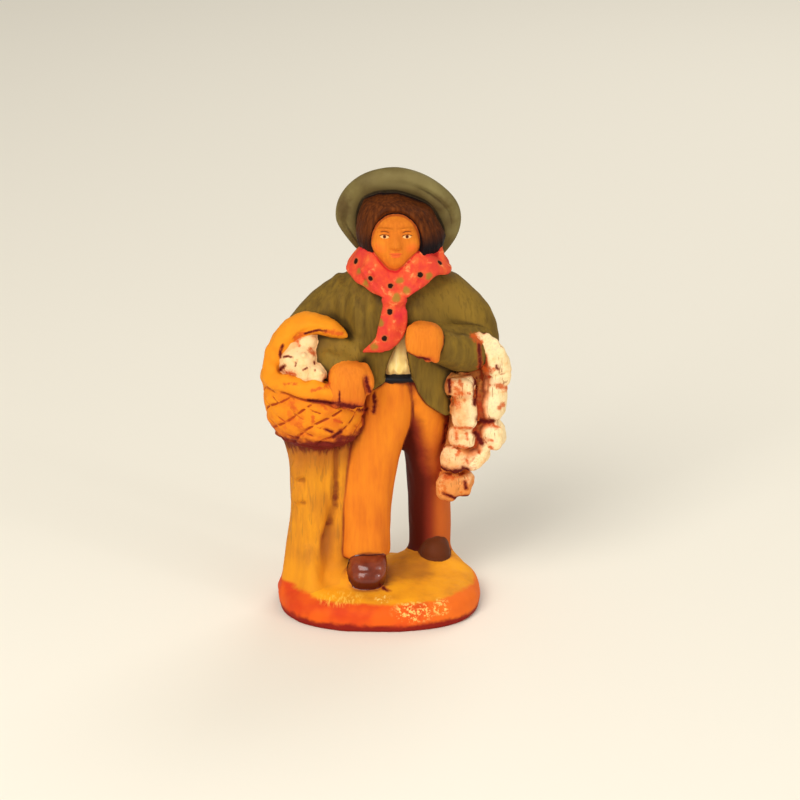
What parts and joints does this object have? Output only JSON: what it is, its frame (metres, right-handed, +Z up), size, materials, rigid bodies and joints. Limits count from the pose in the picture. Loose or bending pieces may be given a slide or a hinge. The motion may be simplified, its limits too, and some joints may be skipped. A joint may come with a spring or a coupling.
{
  "type": "santon figurine",
  "caption": "Painted clay figurine of a garlic seller in hat, kerchief and jacket, a hand on a basket on a stump, a garlic braid on the other arm, standing on its own base.",
  "frame": {"origin": "centre of the base's flat underside", "axes": "+Z up, -Y the way the figure faces, +X to the viewer's right"},
  "size_m": [0.0381, 0.026, 0.0695],
  "materials": {
    "painted_clay": "matt hand-painted terracotta: orange skin and trousers, ochre stump, basket and ground, olive jacket, grey-olive hat, red dotted kerchief, cream garlic, glossy brown shoes"
  },
  "bodies": {
    "root": {"santon": "painted_clay"}
  },
  "joints": []
}
